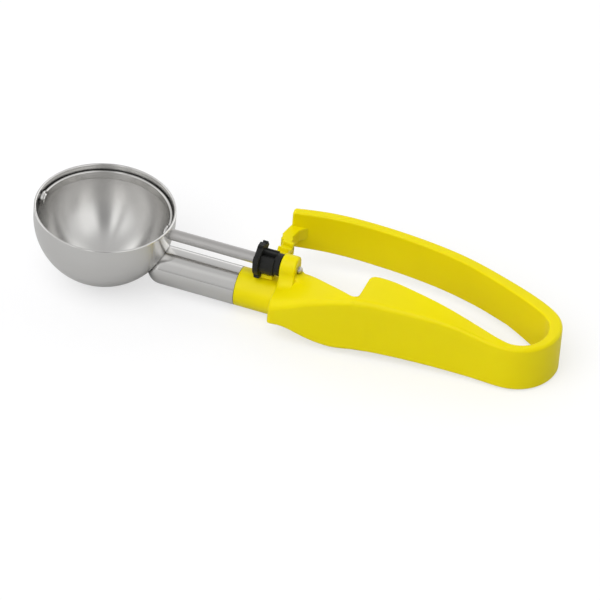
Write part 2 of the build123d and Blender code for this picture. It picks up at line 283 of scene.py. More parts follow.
@dataclass(frozen=True)
class ToolFrame:
    """The tool's own frame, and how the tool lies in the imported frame."""

    turn: np.ndarray
    shift: np.ndarray

    @classmethod
    def from_joint(cls, joint: dict[str, Any], point: Sequence[float]) -> "ToolFrame":
        """Works the frame out from the squeeze joint, whose axis is the tool's own +Z.

        Args:
            joint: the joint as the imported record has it.
            point: where the joint's point is in the tool's own frame, in millimetres.

        Returns:
            The frame.
        """
        lean = math.atan2(joint["axis"][0], joint["axis"][2])
        cosine, sine = math.cos(lean), math.sin(lean)
        turn = np.array([[cosine, 0, sine], [0, 1, 0], [-sine, 0, cosine]])
        return cls(turn, np.array(joint["pos_m"]) / MM - turn @ np.array(point))

    def place(self, points: np.ndarray) -> np.ndarray:
        """Millimetres in the tool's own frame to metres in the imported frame."""
        return (points @ self.turn.T + self.shift) * MM

    def point(self, x: float, y: float, z: float) -> tuple[float, float, float]:
        """One point, as place gives it."""
        return tuple(float(v) for v in self.place(np.array([x, y, z])))


class Shell:
    """Closed surfaces collected into one mesh."""

    def __init__(self) -> None:
        """Starts empty."""
        self.points: list[np.ndarray] = []
        self.faces: list[tuple[int, ...]] = []
        self.uvs: list[np.ndarray] = []
        self.count = 0

    def add(self, grid: np.ndarray) -> "Shell":
        """Adds a tube-like grid, closed round its second direction and capped at both ends.

        An end ring whose points coincide becomes one pole point, and any other end gets one flat face.

        Args:
            grid: points (rings, points in a ring, 3).

        Returns:
            The shell itself.
        """
        rings, around, _ = grid.shape
        pole_start = np.ptp(grid[0], axis=0).max() < POLE_SIZE
        pole_end = np.ptp(grid[-1], axis=0).max() < POLE_SIZE
        first, last = int(pole_start), rings - int(pole_end)
        body = grid[first:last].reshape(-1, 3)
        index = self.count + np.arange(len(body)).reshape(last - first, around)
        after = np.roll(index, -1, axis=1)
        quads = np.stack([index[:-1], after[:-1], after[1:], index[1:]], axis=-1).reshape(-1, 4)
        self.faces += [tuple(q) for q in quads.tolist()]
        points = [body]
        size = len(body)
        for is_pole, ring, turn in ((pole_start, 0, -1), (pole_end, -1, 1)):
            loop, follower = index[ring], after[ring]
            if is_pole:
                tip = self.count + size
                points.append(grid[ring][:1])
                size += 1
                fan = np.stack([loop, follower, np.full(around, tip)], axis=1)[:, ::turn]
                self.faces += [tuple(t) for t in fan.tolist()]
            else:
                self.faces.append(tuple(loop[::turn].tolist()))
        stacked = np.concatenate(points)
        self.points.append(stacked)
        v, u = np.meshgrid(np.linspace(0, 1, last - first), np.arange(around) / around, indexing="ij")
        uv = np.zeros((len(stacked), 2))
        uv[: len(body)] = np.stack([u, v], axis=-1).reshape(-1, 2)
        self.uvs.append(uv)
        self.count += size
        return self

    def build(self, name: str, tool: ToolFrame) -> bpy.types.Object:
        """Makes the mesh object, at the origin, with its place in its points.

        Its shading follows the larger faces, so that a long flat wall stays flat beside a small rounding.

        Args:
            name: the piece's name.
            tool: the frame its points are drawn in.

        Returns:
            The new object.
        """
        mesh = bpy.data.meshes.new(name)
        mesh.from_pydata(tool.place(np.concatenate(self.points)).tolist(), [], self.faces)
        mesh.validate()
        layer = mesh.uv_layers.new(name="wrap")
        corners = np.zeros(len(mesh.loops), dtype=np.int64)
        mesh.loops.foreach_get("vertex_index", corners)
        layer.data.foreach_set("uv", np.concatenate(self.uvs)[corners].astype(np.float32).ravel())
        piece = bpy.data.objects.new(name, mesh)
        bpy.context.scene.collection.objects.link(piece)
        self.close_up(piece)
        mesh.shade_smooth()
        mesh.set_sharp_from_angle(angle=SHARP_ANGLE)
        shading = piece.modifiers.new("flat_walls", "WEIGHTED_NORMAL")
        shading.keep_sharp = True
        return piece

    @staticmethod
    def close_up(piece: bpy.types.Object) -> None:
        """Merges points that coincide, which leaves no face without width, and turns all faces outwards.

        Args:
            piece: the object to mend.
        """
        bpy.context.view_layer.objects.active = piece
        bpy.ops.object.select_all(action="DESELECT")
        piece.select_set(True)
        bpy.ops.object.mode_set(mode="EDIT")
        bpy.ops.mesh.select_all(action="SELECT")
        bpy.ops.mesh.remove_doubles(threshold=MERGE_SIZE)
        bpy.ops.mesh.normals_make_consistent(inside=False)
        bpy.ops.object.mode_set(mode="OBJECT")


# --- Finishes -----------------------------------------------------------------------------------------


def linear(hex_colour: str) -> tuple[float, float, float, float]:
    """Turns an sRGB colour to linear by the standard's curve: a short straight foot, then a power of 2.4.

    Args:
        hex_colour: the colour, such as "#20211F".

    Returns:
        Linear red, green and blue, and an alpha of 1.
    """
    parts = np.array([int(hex_colour[i : i + 2], 16) for i in (1, 3, 5)]) / 255
    value = np.where(parts <= 0.04045, parts / 12.92, ((parts + 0.055) / 1.055) ** 2.4)
    return (*value.tolist(), 1.0)


def add_node(
    tree: bpy.types.NodeTree, kind: str, settings: dict[str, Any] | None = None,
    inputs: dict[Any, Any] | None = None, stops: Sequence[tuple[float, float]] = (),
) -> bpy.types.Node:
    """Adds a node with its settings, its inputs and, where it has a grey ramp, the ramp's stops.

    Args:
        tree: the node tree.
        kind: the node's type name.
        settings: attributes to set on the node.
        inputs: values, or output sockets to link, by input name or number.
        stops: positions and levels of the ramp, in order.

    Returns:
        The new node.
    """
    node = tree.nodes.new(kind)
    for key, value in (settings or {}).items():
        setattr(node, key, value)
    for key, value in (inputs or {}).items():
        if isinstance(value, bpy.types.NodeSocket):
            tree.links.new(value, node.inputs[key])
        else:
            node.inputs[key].default_value = value
    if stops:
        elements = node.color_ramp.elements
        elements[0].position, elements[1].position = stops[0][0], stops[-1][0]
        for position, _ in stops[1:-1]:
            elements.new(position)
        for element, (_, level) in zip(elements, stops):
            element.color = (level, level, level, 1)
    return node


@dataclass(frozen=True)
class SpunSteel:
    """Stainless steel, pressed, drawn or ground, then polished on a wheel.

    The eye sees a mirror that is softened across the wheel's path, so that a lamp becomes a long soft
    band, under a faint haze that is never quite even. Where another piece meets it, and in any crease,
    a thin dark line of painted shade darkens the colour.

    The blur of a reflection runs round the piece with a stretch_turn of 0 and from end to end with 0.25,
    which is a quarter turn and suits polishing lines that run round. A patch of the line pattern is as
    large as patch_round_mm by patch_along_mm, on a surface of girth_mm by length_mm that the UV map
    wraps. Real polishing lines are some 0.03 mm apart: they are drawn over ten times as coarse and as
    long, so that they show.
    """

    name: str
    girth_mm: float
    length_mm: float
    patch_round_mm: float
    patch_along_mm: float
    roughness: float = 0.07
    stretch: float = 0.3
    stretch_turn: float = 0.0
    painted_shade_mm: float = 2.6
    colour: str = "#D7D6D4"
    roughness_spread: float = 0.05
    haze_mm: float = 9.0
    line_depth_mm: float = 0.002
    painted_shade_colour: str = "#34322F"
    painted_shade_openness: tuple[float, float] = (0.2, 0.65)

    def build(self) -> bpy.types.Material:
        """Makes the material.

        Returns:
            The new material.
        """
        material = bpy.data.materials.new(self.name)
        material.use_nodes = True
        tree = material.node_tree
        shader = tree.nodes["Principled BSDF"]
        shader.inputs["Metallic"].default_value = 1.0
        # Painted shade: ambient occlusion within a short reach darkens the colour to a near-black grey in
        # creases and where pieces meet
        open_sky = add_node(
            tree, "ShaderNodeAmbientOcclusion", {"samples": 8}, {"Distance": self.painted_shade_mm * MM}
        )
        unshaded = add_node(
            tree, "ShaderNodeMapRange", {"interpolation_type": "SMOOTHSTEP"},
            {
                "Value": open_sky.outputs["AO"], "From Min": self.painted_shade_openness[0],
                "From Max": self.painted_shade_openness[1],
            },
        )
        surface = add_node(
            tree, "ShaderNodeMix", {"data_type": "RGBA"},
            {"Factor": unshaded.outputs["Result"], 6: linear(self.painted_shade_colour), 7: linear(self.colour)},
        )
        tree.links.new(surface.outputs[2], shader.inputs["Base Color"])
        shader.inputs["Anisotropic"].default_value = self.stretch
        shader.inputs["Anisotropic Rotation"].default_value = self.stretch_turn
        place = add_node(tree, "ShaderNodeTexCoord")
        haze = add_node(
            tree, "ShaderNodeTexNoise", {},
            {"Vector": place.outputs["Object"], "Scale": 1 / (self.haze_mm * MM), "Detail": 3.0},
        )
        rough = add_node(
            tree, "ShaderNodeMapRange", {},
            {
                "Value": haze.outputs["Fac"], "From Min": NOISE_SPAN[0], "From Max": NOISE_SPAN[1],
                "To Min": self.roughness, "To Max": self.roughness + self.roughness_spread,
            },
        )
        tree.links.new(rough.outputs["Result"], shader.inputs["Roughness"])
        wrap = add_node(tree, "ShaderNodeUVMap", {"uv_map": "wrap"})
        patches = (self.girth_mm / self.patch_round_mm, self.length_mm / self.patch_along_mm, 1.0)
        stretched = add_node(
            tree, "ShaderNodeMapping", {}, {"Vector": wrap.outputs["UV"], "Scale": patches}
        )
        lines = add_node(
            tree, "ShaderNodeTexNoise", {},
            {"Vector": stretched.outputs["Vector"], "Scale": 1.0, "Detail": 2.0},
        )
        bump = add_node(
            tree, "ShaderNodeBump", {},
            {"Height": lines.outputs["Fac"], "Distance": self.line_depth_mm * MM, "Strength": 1.0},
        )
        tree.links.new(bump.outputs["Normal"], shader.inputs["Normal"])
        tangent = add_node(tree, "ShaderNodeTangent", {"direction_type": "UV_MAP", "uv_map": "wrap"})
        tree.links.new(tangent.outputs["Tangent"], shader.inputs["Tangent"])
        return material


@dataclass(frozen=True)
class MouldedPlastic:
    """Injection-moulded plastic from a finely spark-eroded mould.

    The eye sees an even body colour under a soft skin gloss, with a grain that only shows where a
    highlight breaks up on it, and slow waves where thick walls have sunk. A thin wall of a bright
    plastic also glows a little, because light gets into it.

    The grain of such a mould is about 0.05 mm wide. It is drawn seven times as coarse, so that it shows.
    The waves have their real width, about that of a thick wall.
    """

    name: str
    colour: str
    shade: str
    roughness: float
    index: float
    glow: float = 0.0
    glow_mm: float = 1.5
    glow_reach: tuple[float, float, float] = (1.0, 0.8, 0.15)
    skin: float = 0.5
    grain_mm: float = 0.35
    grain_depth_mm: float = 0.006
    grain_gloss: tuple[float, float] = (-0.04, 0.05)
    sink_mm: float = 14.0
    sink_depth_mm: float = 0.05

    def build(self) -> bpy.types.Material:
        """Makes the material.

        Returns:
            The new material.
        """
        material = bpy.data.materials.new(self.name)
        material.use_nodes = True
        tree = material.node_tree
        shader = tree.nodes["Principled BSDF"]
        shader.inputs["IOR"].default_value = self.index
        shader.inputs["Specular IOR Level"].default_value = self.skin
        shader.inputs["Subsurface Weight"].default_value = self.glow
        shader.inputs["Subsurface Radius"].default_value = self.glow_reach
        shader.inputs["Subsurface Scale"].default_value = self.glow_mm * MM
        place = add_node(tree, "ShaderNodeTexCoord")
        sink = add_node(
            tree, "ShaderNodeTexNoise", {},
            {"Vector": place.outputs["Object"], "Scale": 1 / (self.sink_mm * MM), "Detail": 2.0},
        )
        tint = add_node(
            tree, "ShaderNodeMix", {"data_type": "RGBA"},
            {"Factor": sink.outputs["Fac"], 6: linear(self.shade), 7: linear(self.colour)},
        )
        tree.links.new(tint.outputs[2], shader.inputs["Base Color"])
        grain = add_node(
            tree, "ShaderNodeTexNoise", {},
            {"Vector": place.outputs["Object"], "Scale": 1 / (self.grain_mm * MM), "Detail": 4.0},
        )
        rough = add_node(
            tree, "ShaderNodeMapRange", {},
            {
                "Value": grain.outputs["Fac"], "From Min": NOISE_SPAN[0], "From Max": NOISE_SPAN[1],
                "To Min": self.roughness + self.grain_gloss[0],
                "To Max": self.roughness + self.grain_gloss[1],
            },
        )
        tree.links.new(rough.outputs["Result"], shader.inputs["Roughness"])
        waves = add_node(
            tree, "ShaderNodeBump", {},
            {"Height": sink.outputs["Fac"], "Distance": self.sink_depth_mm * MM},
        )
        fine = add_node(
            tree, "ShaderNodeBump", {},
            {
                "Height": grain.outputs["Fac"], "Distance": self.grain_depth_mm * MM,
                "Normal": waves.outputs["Normal"],
            },
        )
        tree.links.new(fine.outputs["Normal"], shader.inputs["Normal"])
        return material


@dataclass
class Finishes:
    """The tool's finishes, each made once."""

    bowl_steel: bpy.types.Material = field(
        default_factory=lambda: SpunSteel(
            "stainless_steel_spun_polished", girth_mm=174.6, length_mm=96.0, patch_round_mm=58.2,
            patch_along_mm=0.4, roughness=0.2, stretch=0.9, stretch_turn=0.25, painted_shade_mm=1.0,
        ).build()
    )
    drawn_steel: bpy.types.Material = field(
        default_factory=lambda: SpunSteel(
            "stainless_steel_drawn_polished", girth_mm=48.6, length_mm=52.2, patch_round_mm=0.81,
            patch_along_mm=8.7,
        ).build()
    )
    strip_steel: bpy.types.Material = field(
        default_factory=lambda: SpunSteel(
            "stainless_steel_strip_polished", girth_mm=9.2, length_mm=88.0, patch_round_mm=1.15,
            patch_along_mm=2.2, roughness=0.12, painted_shade_mm=0.6,
        ).build()
    )
    rod_steel: bpy.types.Material = field(
        default_factory=lambda: SpunSteel(
            "stainless_steel_rod_ground", girth_mm=14.0, length_mm=59.4, patch_round_mm=3.5,
            patch_along_mm=0.66, roughness=0.3, stretch=0.2, colour="#BFBDBB",
        ).build()
    )
    yellow: bpy.types.Material = field(
        default_factory=lambda: MouldedPlastic(
            "polypropylene_yellow_moulded", "#ECDD00", "#E9D800", roughness=0.36, index=1.49, glow=0.3,
            glow_mm=2.5, skin=0.16,
        ).build()
    )
    black: bpy.types.Material = field(
        default_factory=lambda: MouldedPlastic(
            "nylon_black_moulded", "#161715", "#121311", roughness=0.55, index=1.53, skin=0.3
        ).build()
    )


def finish_piece(
    piece: bpy.types.Object, body: Body, material: bpy.types.Material,
    nodes: Sequence[str] = (),
) -> bpy.types.Object:
    """Dresses a piece, sets it on its body and hides the CAD nodes that it stands for.

    Args:
        piece: the piece.
        body: the rigid body it moves with.
        material: its finish.
        nodes: names of the CAD nodes that it replaces.

    Returns:
        The piece.
    """
    piece.data.materials.append(material)
    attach(piece, body.value)
    if nodes:
        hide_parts(*nodes)
    LOG.info("%s rides on %s: %d faces", piece.name, body.value, len(piece.data.polygons))
    return piece


# --- Sub-assemblies -----------------------------------------------------------------------------------


@dataclass
class Scoop:
    """Bowl, the tube it sits on, and the rivet the blade turns on. Sizes are in millimetres.

    seat_depth is how far the tube's nose bites into the bowl's skin, and end_depth how deep the tube's
    open end is, which stops 0.05 short of the neck. foot_gap is the room for the blade between the bowl's
    wall and the rivet's foot, and foot_depth how far the foot reaches inwards of that.
    """

    bowl_radius: float = 27.8
    wall: float = 0.9
    axis_z: float = SPINDLE_Z
    rim_round: float = 0.44
    tube_radius: float = TUBE_RADIUS
    tube_wall: float = 1.2
    tube_z: float = TUBE_Z
    tube_nose_x: float = 19.8
    tube_end_x: float = TUBE_END_X - 0.05
    tube_edge: float = 0.08
    nose_round: float = 6.0
    seat_depth: float = 0.15
    end_depth: float = 2.0
    rivet_head_radius: float = 2.6
    rivet_head_height: float = 1.1
    rivet_head_sink: float = 0.1
    rivet_radius: float = 1.5
    rivet_shank_sink: float = 0.2
    rivet_foot_radius: float = 2.3
    rivet_foot_height: float = 0.7
    rivet_foot_edge: float = 0.3
    foot_gap: float = 1.3
    foot_depth: float = 0.9

    def bowl_profile(self) -> np.ndarray:
        """Outer quarter circle, straight skirt, rounded rim, inner skirt and inner quarter circle.

        Returns:
            Radii and heights, from the bottom outside to the bottom inside.
        """
        lift = np.array([0.0, self.axis_z])
        inner = self.bowl_radius - self.wall
        rim = arc(self.rim_round, 0, 90, 6)
        right = rim + [self.bowl_radius - self.rim_round, -self.rim_round]
        left = rim[::-1] * [-1, 1] + [inner + self.rim_round, -self.rim_round]
        skirt = np.linspace(self.axis_z, -self.rim_round, 5)[1:-1]
        return np.concatenate([
            arc(self.bowl_radius, -90, 0, 60) + lift,
            np.stack([np.full(3, self.bowl_radius), skirt], axis=1),
            right, left,
            np.stack([np.full(3, inner), skirt[::-1]], axis=1),
            arc(inner, 0, -90, 60) + lift,
        ])

    def tube_grid(self) -> np.ndarray:
        """Round tube with a rounded nose, each of its lines starting on the bowl's outside.

        The profile (x, radius) is turned round the tube's axis. Points that would lie inside the bowl's
        sphere, x^2 + y^2 + z^2 below its radius squared, are moved along +X on to it.

        Returns:
            Grid of points (profile, round, 3).
        """
        edge = self.tube_edge
        nose = arc(self.nose_round, 180, 90, 14) + [
            self.tube_nose_x + self.nose_round, self.tube_radius - self.nose_round
        ]
        end = arc(edge, 90, 0, 4) + [self.tube_end_x - edge, self.tube_radius - edge]
        straight = np.linspace(nose[-1, 0], end[0, 0], 24)[1:-1]
        bore = self.tube_radius - self.tube_wall
        floor_x = self.tube_end_x - self.end_depth
        profile = np.concatenate([
            [[self.tube_nose_x, 0.0]], nose,
            np.stack([straight, np.full(len(straight), self.tube_radius)], axis=1), end,
            [[self.tube_end_x, bore], [floor_x, bore], [floor_x, 0.0]],
        ])
        grid = along_x(revolve(profile[:, ::-1], 128), self.tube_z)
        skin = self.bowl_radius - self.seat_depth
        reach = skin**2 - grid[..., 1] ** 2 - (grid[..., 2] - self.axis_z) ** 2
        seat = np.sqrt(np.maximum(reach, 0))
        grid[..., 0] = np.maximum(grid[..., 0], seat)
        return grid

    def rivet_grid(self) -> np.ndarray:
        """Domed head outside the bowl, shank through its wall and flat foot inside the blade.

        The profile (radius, height) is turned round the spindle's axis. The head is a quarter ellipse.

        Returns:
            Grid of points (profile, round, 3).
        """
        inside = self.bowl_radius - self.wall - self.foot_gap
        foot_x = math.sqrt(inside**2 - self.rivet_foot_radius**2) - self.foot_depth
        foot_top = foot_x + self.rivet_foot_height
        edge = self.rivet_foot_edge
        head = arc(1.0, 0, 90, 8) * [self.rivet_head_radius, self.rivet_head_height]
        head_x = self.bowl_radius - self.rivet_shank_sink
        profile = np.concatenate([
            [[0.0, foot_x], [self.rivet_foot_radius - edge, foot_x]],
            [[self.rivet_foot_radius, foot_x + edge], [self.rivet_foot_radius, foot_top]],
            [[self.rivet_radius, foot_top], [self.rivet_radius, head_x], [self.rivet_head_radius, head_x]],
            head + [0, self.bowl_radius - self.rivet_head_sink],
        ])
        grid = along_x(revolve(profile, 48), self.axis_z)
        grid[..., 0] *= -1
        return grid

    def build(self, tool: ToolFrame, finishes: Finishes) -> None:
        """Builds and dresses the pieces.

        Args:
            tool: the frame they are drawn in.
            finishes: the tool's finishes.
        """
        bowl = Shell().add(revolve(self.bowl_profile(), 256)).build("bowl_shell", tool)
        finish_piece(bowl, Body.HANDLE, finishes.bowl_steel, ["bowl"])
        tube = Shell().add(self.tube_grid()).build("shank", tool)
        finish_piece(tube, Body.HANDLE, finishes.drawn_steel, ["shank_tube"])
        rivet = Shell().add(self.rivet_grid()).build("blade_rivet", tool)
        finish_piece(rivet, Body.HANDLE, finishes.strip_steel, ["pivot_rivet"])


@dataclass
class Spindle:
    """Rod, scraper blade and pinion, which turn together. Sizes are in millimetres, angles in degrees.

    Each lug of the flange is (angle, reach from the axis). blade_overrun is how far the hoop runs past
    the spindle's axis at each end, in radians, which makes the far half of its eyes.
    """

    axis_z: float = SPINDLE_Z
    rod_radius: float = 2.25
    rod_start: float = 1.2
    rod_edge: float = 0.2
    journal_radius: float = 1.45
    journal_end_x: float = 82.0
    journal_dome: float = 1.0
    dome_run_in: float = 0.6
    blade_outer: float = 26.35
    blade_thickness: float = 1.0
    blade_half_width: float = 1.8
    blade_overrun: float = 0.118
    blade_edge_share: float = 0.35
    least_half: float = 0.02
    eye_radius: float = 3.1
    flange_x: float = 63.4
    flange_width: float = 2.3
    flange_radius: float = 6.2
    flange_edge: float = 0.35
    lug_half_width: float = 1.4
    lugs: tuple[tuple[float, float], ...] = ((32.0, 7.5), (83.0, 7.1), (148.0, 6.9), (-108.0, 7.5))
    barrel_length: float = 5.6
    barrel_edge: float = 0.15
    tip_radius: float = 5.0
    root_radius: float = 3.25
    tooth_angle: float = 40.0
    gap_root_half: float = 7.0
    gap_tip_half: float = 13.5
    first_gap: float = -90.0
    toothed_gaps: int = 6
    collar_radius: float = 4.4
    collar_length: float = 2.3
    overlap: float = 0.3

    def rod_grid(self) -> np.ndarray:
        """Plain round rod, stepped down to its journal, with a domed end.

        The profile (radius, height) is turned round the spindle's axis. The dome is a quarter ellipse.

        Returns:
            Grid of points (profile, round, 3).
        """
        step_x = self.flange_x + self.flange_width + self.barrel_length + self.collar_length
        dome_x = self.journal_end_x - self.journal_dome
        dome = arc(1.0, 0, 90, 8) * [self.journal_radius, self.journal_dome] + [0, dome_x]
        rod = np.linspace(self.blade_outer - self.rod_start, step_x, 30)
        profile = np.concatenate([
            [[0.0, rod[0]], [self.rod_radius - self.rod_edge, rod[0]]],
            np.stack([np.full(len(rod) - 1, self.rod_radius), rod[1:]], axis=1),
            [[self.journal_radius, step_x], [self.journal_radius, dome_x - self.dome_run_in]], dome,
        ])
        return along_x(revolve(profile, 64), self.axis_z)

    def blade_grid(self) -> np.ndarray:
        """Half hoop on a sphere: a rounded strip carried from the rivet to the rod, widening to an eye.

        At turn t the strip stands at (-cos t, sin t) times its radius. Its half width is even, and within
        the eye's radius of the axis it is the eye's own circle, sqrt(eye^2 - reach^2), if that is wider.
        Its radius falls off with height as a sphere's does.

        Returns:
            Grid of points (along, round the section, 3).
        """
        turn = np.linspace(-self.blade_overrun, math.pi + self.blade_overrun, 180)
        reach = self.blade_outer * np.abs(np.sin(turn))
        inside_eye = np.where(np.sin(turn) < 0, reach, np.minimum(reach, self.eye_radius))
        eye = np.sqrt(np.maximum(self.eye_radius**2 - inside_eye**2, self.least_half))
        strip = self.blade_half_width * (turn > 0) * (turn < math.pi)
        half = np.where(reach < self.eye_radius, np.maximum(eye, strip), self.blade_half_width)
        quarter = arc(1.0, 0, 90, 5)
        round_off = self.blade_thickness * self.blade_edge_share
        corners = []
        for sign_x, sign_y, flip in ((1, 1, 1), (-1, 1, -1), (-1, -1, 1), (1, -1, -1)):
            corners.append(quarter[::flip] * [sign_x, sign_y] * round_off)
        sides = np.repeat([[1, 1], [-1, 1], [-1, -1], [1, -1]], len(quarter), axis=0)
        bevel = np.concatenate(corners)
        depth = self.blade_thickness / 2
        radial = self.blade_outer - depth + sides[:, 0] * (depth - round_off) + bevel[:, 0]
        flat_half = (half[:, None] - round_off).clip(self.least_half)
        height = sides[None, :, 1] * flat_half + bevel[None, :, 1]
        scale = np.sqrt(np.maximum(1 - (height / radial[None]) ** 2, 0))
        x = -np.cos(turn)[:, None] * radial[None] * scale
        y = np.sin(turn)[:, None] * radial[None] * scale
        return np.stack([x, y, height + self.axis_z], axis=-1)

    def flange_outline(self) -> np.ndarray:
        """Outline of the flange: a circle, or a lug's straight-sided block where that reaches further.

        A lug's radius at an angle a off its middle is the lesser of reach / cos a and half width / sin a.

        Returns:
            Outline points (n, 2), counter-clockwise.
        """
        angle = np.radians(np.arange(0, 360, 1.25))
        radius = np.full(len(angle), self.flange_radius)
        for lug, reach in self.lugs:
            off = angle - math.radians(lug)
            ahead = np.cos(off) > 0
            end = reach / np.maximum(np.cos(off), LEAST_SHARE)
            side = self.lug_half_width / np.maximum(np.abs(np.sin(off)), LEAST_SHARE)
            radius = np.where(ahead, np.maximum(radius, np.minimum(end, side)), radius)
        return radius[:, None] * np.stack([np.cos(angle), np.sin(angle)], axis=1)

    def barrel_outline(self) -> np.ndarray:
        """Outline of the barrel: its tip circle, let down to the root circle in each tooth gap.

        The radius falls in a straight line of the angle, from a gap's tip half angle to its root half angle.

        Returns:
            Outline points (n, 2), counter-clockwise.
        """
        degrees = np.arange(0, 360, 1.0)
        share = np.ones(len(degrees))
        for gap in range(self.toothed_gaps):
            middle = self.first_gap + gap * self.tooth_angle
            off = np.abs((degrees - middle + 180) % 360 - 180)
            ramp = (off - self.gap_root_half) / (self.gap_tip_half - self.gap_root_half)
            share = np.minimum(share, np.clip(ramp, 0, 1))
        radius = self.root_radius + (self.tip_radius - self.root_radius) * share
        angle = np.radians(degrees)
        return radius[:, None] * np.stack([np.cos(angle), np.sin(angle)], axis=1)

    def pinion(self) -> Shell:
        """Flange, toothed barrel and collar, one behind the other.

        Returns:
            The three closed surfaces, each a prism along the spindle with rounded rims.
        """
        barrel_x = self.flange_x + self.flange_width
        collar_x = barrel_x + self.barrel_length
        collar_end = collar_x + self.collar_length
        circle = arc(self.collar_radius, 0, 357.5, 144)
        shell = Shell()
        for outline, low, high, edge in (
            (self.flange_outline(), self.flange_x, barrel_x, self.flange_edge),
            (self.barrel_outline(), barrel_x - self.overlap, collar_x, self.barrel_edge),
            (circle, collar_x - self.overlap, collar_end, self.flange_edge),
        ):
            shell.add(along_x(prism(outline, edge_levels(low, high, edge)), self.axis_z))
        return shell

    def build(self, tool: ToolFrame, finishes: Finishes) -> None:
        """Builds and dresses the pieces.

        Args:
            tool: the frame they are drawn in.
            finishes: the tool's finishes.
        """
        rod = Shell().add(self.rod_grid()).build("rod", tool)
        finish_piece(rod, Body.SPINDLE, finishes.rod_steel, ["spindle_rod"])
        blade = Shell().add(self.blade_grid()).build("blade", tool)
        finish_piece(blade, Body.SPINDLE, finishes.strip_steel, ["scraper_blade"])
        pinion = self.pinion().build("pinion", tool)
        finish_piece(pinion, Body.SPINDLE, finishes.black, ["drive_pinion"])


